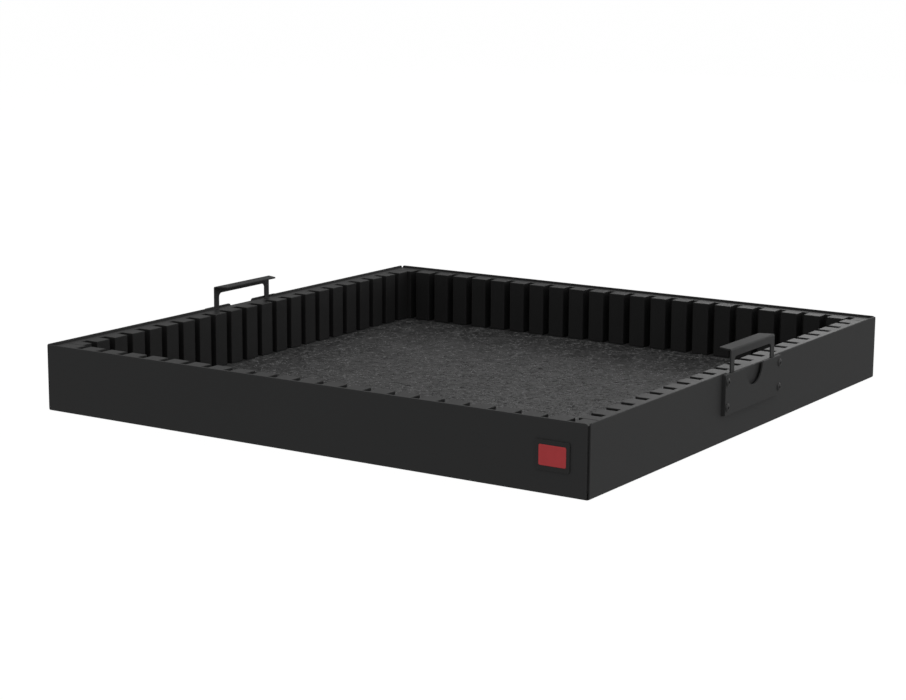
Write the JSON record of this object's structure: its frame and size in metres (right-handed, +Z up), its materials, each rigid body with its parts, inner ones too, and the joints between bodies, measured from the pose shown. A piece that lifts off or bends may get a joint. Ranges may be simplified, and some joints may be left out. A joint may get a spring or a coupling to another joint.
{
  "type": "pedalboard tray",
  "caption": "Square sheet-steel pedalboard tray with slotted foam walls, a felt floor and a sliding pull-up handle on each side wall.",
  "frame": {"origin": "centre of the tray's underside", "axes": "+X right, +Y back, +Z up, out of the tray"},
  "size_m": [0.6104, 0.607, 0.0858],
  "materials": {
    "powder_coat": "black powder coat, fine texture, satin",
    "felt": "mottled charcoal needle felt",
    "foam": "black closed-cell foam, satin skin",
    "tape": "double-sided mounting tape",
    "black_rivet": "black coated blind rivet",
    "mandrel_steel": "dull steel, snapped end",
    "badge_black": "semi-gloss black",
    "red_enamel": "smooth red enamel, no mark"
  },
  "bodies": {
    "tray": {"badge_inlay": "red_enamel", "badge_plate": "badge_black", "cover_left": "powder_coat", "cover_right": "powder_coat", "felt_mat": "felt", "foam_back": "foam", "foam_front": "foam", "foam_left": "foam", "foam_right": "foam", "mandrels_left": "mandrel_steel", "mandrels_right": "mandrel_steel", "rivets_left": "black_rivet", "rivets_right": "black_rivet", "spacer_left_back": "powder_coat", "spacer_left_front": "powder_coat", "spacer_right_back": "powder_coat", "spacer_right_front": "powder_coat", "tape_back": "tape", "tape_front": "tape", "tape_left": "tape", "tape_right": "tape", "tray_shell": "powder_coat"},
    "handle_left": {"handle_left": "powder_coat"},
    "handle_right": {"handle_right": "powder_coat"}
  },
  "joints": [
    {"name": "handle_left_slide", "type": "slide", "parent": "tray", "child": "handle_left", "axis": [0, 0, 1], "range_m": [-0.0212, 0]},
    {"name": "handle_right_slide", "type": "slide", "parent": "tray", "child": "handle_right", "axis": [0, 0, 1], "range_m": [-0.0212, 0]}
  ]
}
